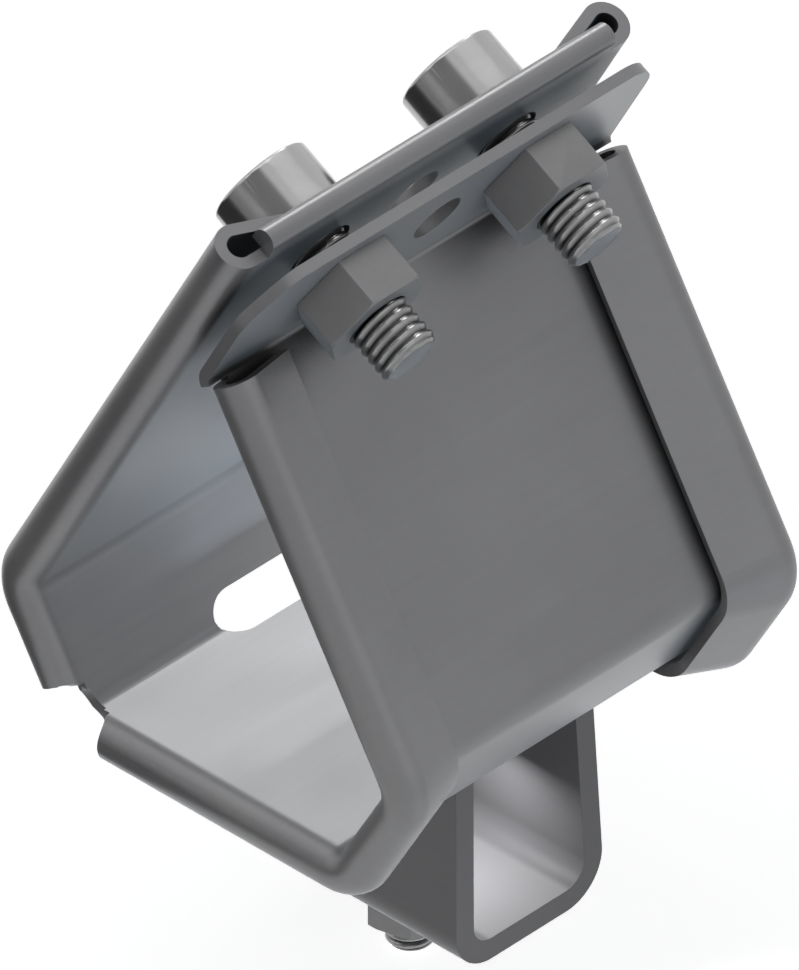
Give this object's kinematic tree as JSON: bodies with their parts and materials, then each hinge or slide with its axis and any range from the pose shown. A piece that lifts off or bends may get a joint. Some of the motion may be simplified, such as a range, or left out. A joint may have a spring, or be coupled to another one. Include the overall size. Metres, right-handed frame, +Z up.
{
  "type": "cable cleat",
  "caption": "Folded sheet-metal trefoil cable cleat with rolled rims, a bolted clamping flange and a ladder bracket under its floor.",
  "frame": {"origin": "where the bracket bolt's axis meets the underside of the cleat's floor, the face that sits on a ladder rung", "axes": "+X across the cleat towards the side with the flange, +Y along the cables, +Z up out of the floor"},
  "size_m": [0.0674, 0.067, 0.119],
  "materials": {
    "cleat_sheet": "satin rolled sheet",
    "bracket_steel": "satin, slightly darker",
    "screw_steel": "smooth bright steel",
    "nut_steel": "satin machined steel"
  },
  "bodies": {
    "cleat": {"cleat_body": "cleat_sheet", "ladder_bracket": "bracket_steel", "bracket_washer": "nut_steel", "front_lock_washer": "screw_steel", "back_lock_washer": "screw_steel"},
    "bolt": {"bracket_bolt": "screw_steel"},
    "bolt_nut": {"bracket_nut": "nut_steel"},
    "front_screw": {"front_clamp_screw": "screw_steel"},
    "front_nut": {"front_clamp_nut": "nut_steel"},
    "back_screw": {"back_clamp_screw": "screw_steel"},
    "back_nut": {"back_clamp_nut": "nut_steel"}
  },
  "joints": [
    {"name": "front_screw_turn", "type": "hinge", "parent": "cleat", "child": "front_screw", "pos_m": [-0.00046, -0.0155, 0.07047], "axis": [-0.8746, 0, 0.4848], "range_deg": [0, 1800]},
    {"name": "front_nut_travel", "type": "slide", "parent": "cleat", "child": "front_nut", "axis": [0.8746, 0, -0.4848], "range_m": [0, 0.00626]},
    {"name": "back_screw_turn", "type": "hinge", "parent": "cleat", "child": "back_screw", "pos_m": [-0.00046, 0.0155, 0.07047], "axis": [-0.8746, 0, 0.4848], "range_deg": [0, 1800]},
    {"name": "back_nut_travel", "type": "slide", "parent": "cleat", "child": "back_nut", "axis": [0.8746, 0, -0.4848], "range_m": [0, 0.00626]},
    {"name": "bolt_turn", "type": "hinge", "parent": "cleat", "child": "bolt", "pos_m": [0, 0, 0], "axis": [0, 0, 1], "range_deg": [0, 1080]},
    {"name": "bolt_nut_travel", "type": "slide", "parent": "cleat", "child": "bolt_nut", "axis": [0, 0, -1], "range_m": [0, 0.00301]}
  ],
  "couplings": [
    {"joint": "front_nut_travel", "follows": "front_screw_turn", "m_per_rad": 0.00019894},
    {"joint": "back_nut_travel", "follows": "back_screw_turn", "m_per_rad": 0.00019894},
    {"joint": "bolt_nut_travel", "follows": "bolt_turn", "m_per_rad": 0.00015915}
  ]
}
